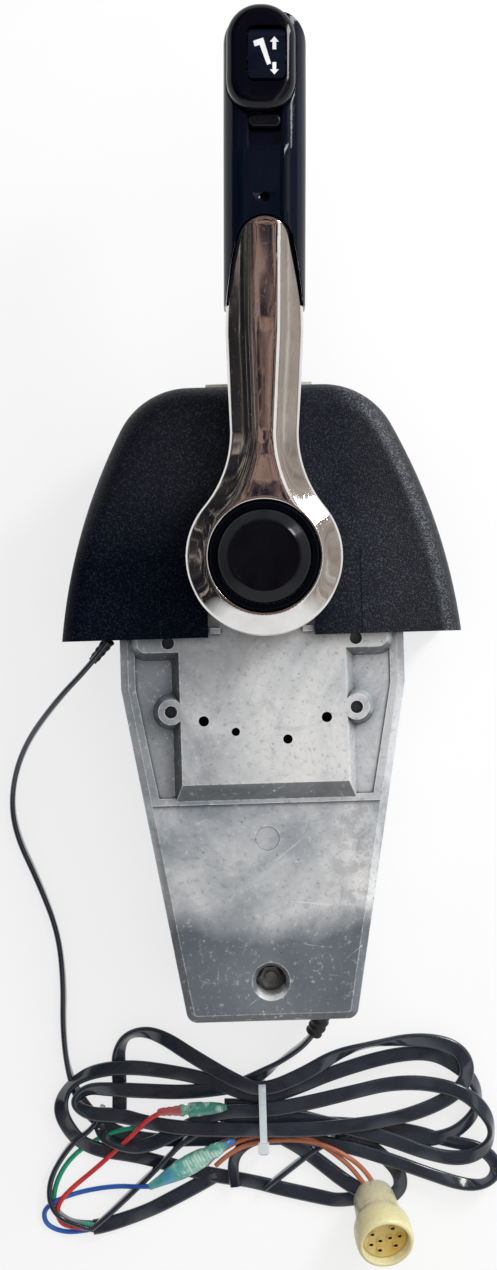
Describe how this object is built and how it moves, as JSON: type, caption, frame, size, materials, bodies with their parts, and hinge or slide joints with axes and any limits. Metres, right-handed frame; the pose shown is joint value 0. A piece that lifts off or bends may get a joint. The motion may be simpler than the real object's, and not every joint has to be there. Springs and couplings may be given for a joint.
{
  "type": "boat throttle control lever",
  "caption": "Outboard engine remote control: chrome lever with trim-rocker grip and centre button on a moulded housing cover, bare die-cast case below, looped wiring harness with connectors",
  "frame": {"origin": "the lever's pivot axis where it meets the flat back of the rear cover", "axes": "+X across the housing to the fore half of its cover, +Y up the housing from its foot to the end of the grip, +Z out of the front, away from the flat back"},
  "size_m": [0.2147, 0.5133, 0.148],
  "materials": {
    "cast_alloy": "as die-cast, blotchy, fine pits and handling scratches",
    "rear_paint": "satin black paint over die-cast alloy",
    "inner_alloy": "as die-cast, unseen inside the lever",
    "zinc_steel": "zinc-plated, slightly dulled",
    "chrome_plate": "bright plating with hairline wear",
    "cover_plastic": "fine leather grain, smooth outer lip",
    "pale_clip": "uncoloured nylon",
    "grip_plastic": "polished black with light scuffs",
    "pod_plastic": "polished black",
    "rocker_plastic": "satin black with white arrows",
    "trigger_plastic": "polished black",
    "button_plastic": "satin to gloss black, dusty rim",
    "ring_rubber": "satin black",
    "gasket_rubber": "matt black",
    "bush_plastic": "natural acetal",
    "switch_plastic": "sealed black case",
    "inner_plastic": "black",
    "lead_sleeve": "satin blue-black vinyl sleeve",
    "tie_nylon": "translucent white nylon",
    "plug_ivory": "translucent ivory rubber",
    "plug_amber": "amber moulding",
    "bullet_sleeve": "clear green sleeve over tinned brass"
  },
  "bodies": {
    "housing": {"main_housing": "cast_alloy", "rear_cover": "rear_paint", "rear_gasket": "gasket_rubber", "rear_cover_screws": "zinc_steel", "clamp_stud": "zinc_steel", "clamp_washer": "zinc_steel", "clamp_nut": "zinc_steel", "front_bush": "bush_plastic", "rear_bush": "bush_plastic", "sector_pin": "zinc_steel", "detent_roller": "zinc_steel", "detent_leaf": "zinc_steel", "friction_pad": "bush_plastic", "friction_screw": "zinc_steel", "neutral_switch": "switch_plastic", "cover_aft": "cover_plastic", "cover_fore": "cover_plastic", "cover_clip": "pale_clip", "cover_screws": "zinc_steel", "lead_grommet": "gasket_rubber", "foot_grommet": "gasket_rubber", "trim_lead": "lead_sleeve", "neutral_lead": "lead_sleeve", "harness_hank": "lead_sleeve", "tail_loop": "lead_sleeve", "cable_tie": "tie_nylon", "plug_shell": "plug_ivory", "plug_insert": "plug_amber", "bullet_upper": "bullet_sleeve", "bullet_lower": "bullet_sleeve"},
    "lever": {"chrome_shroud": "chrome_plate", "lever_back_cover": "inner_plastic", "lever_arm": "inner_alloy", "lever_screws": "zinc_steel", "grip_rear_shell": "grip_plastic", "grip_front_shell": "grip_plastic", "grip_screw": "zinc_steel", "switch_pod": "pod_plastic", "trim_switch": "switch_plastic", "rocker_pin": "zinc_steel", "trigger_spring": "zinc_steel", "button_ring": "ring_rubber", "button_boot": "gasket_rubber", "lever_shaft": "zinc_steel", "shaft_circlip": "zinc_steel", "thrust_washer": "bush_plastic", "lever_washer": "zinc_steel", "lever_bolt": "zinc_steel", "throttle_arm": "zinc_steel", "drive_gear": "zinc_steel"},
    "rocker": {"trim_rocker": "rocker_plastic"},
    "trigger": {"neutral_trigger": "trigger_plastic", "lock_rod": "zinc_steel"},
    "button": {"accelerator_button": "button_plastic"},
    "shift": {"shift_sector": "zinc_steel"}
  },
  "joints": [
    {"name": "lever_pivot", "type": "hinge", "parent": "housing", "child": "lever", "pos_m": [0, 0, 0.05], "axis": [0, 0, 1], "range_deg": [-65, 85]},
    {"name": "shift_pivot", "type": "hinge", "parent": "housing", "child": "shift", "pos_m": [0, -0.03825, 0.045], "axis": [0, 0, 1], "range_deg": [-36, 28]},
    {"name": "rocker_pivot", "type": "hinge", "parent": "lever", "child": "rocker", "pos_m": [0.00555, 0.18692, 0.142], "axis": [0.9996, -0.0297, 0], "range_deg": [-6, 6], "stiffness_Nm_per_rad": 0.6},
    {"name": "trigger_slide", "type": "slide", "parent": "lever", "child": "trigger", "axis": [0.0297, 0.9996, 0], "range_m": [0, 0.004], "stiffness_N_per_m": 600, "deforming": ["trigger_spring"]},
    {"name": "button_slide", "type": "slide", "parent": "lever", "child": "button", "axis": [0, 0, -1], "range_m": [0, 0.004], "stiffness_N_per_m": 900, "deforming": ["button_boot"]}
  ],
  "couplings": [
    {"joint": "shift_pivot", "follows": "lever_pivot", "ratio": -0.41667}
  ]
}
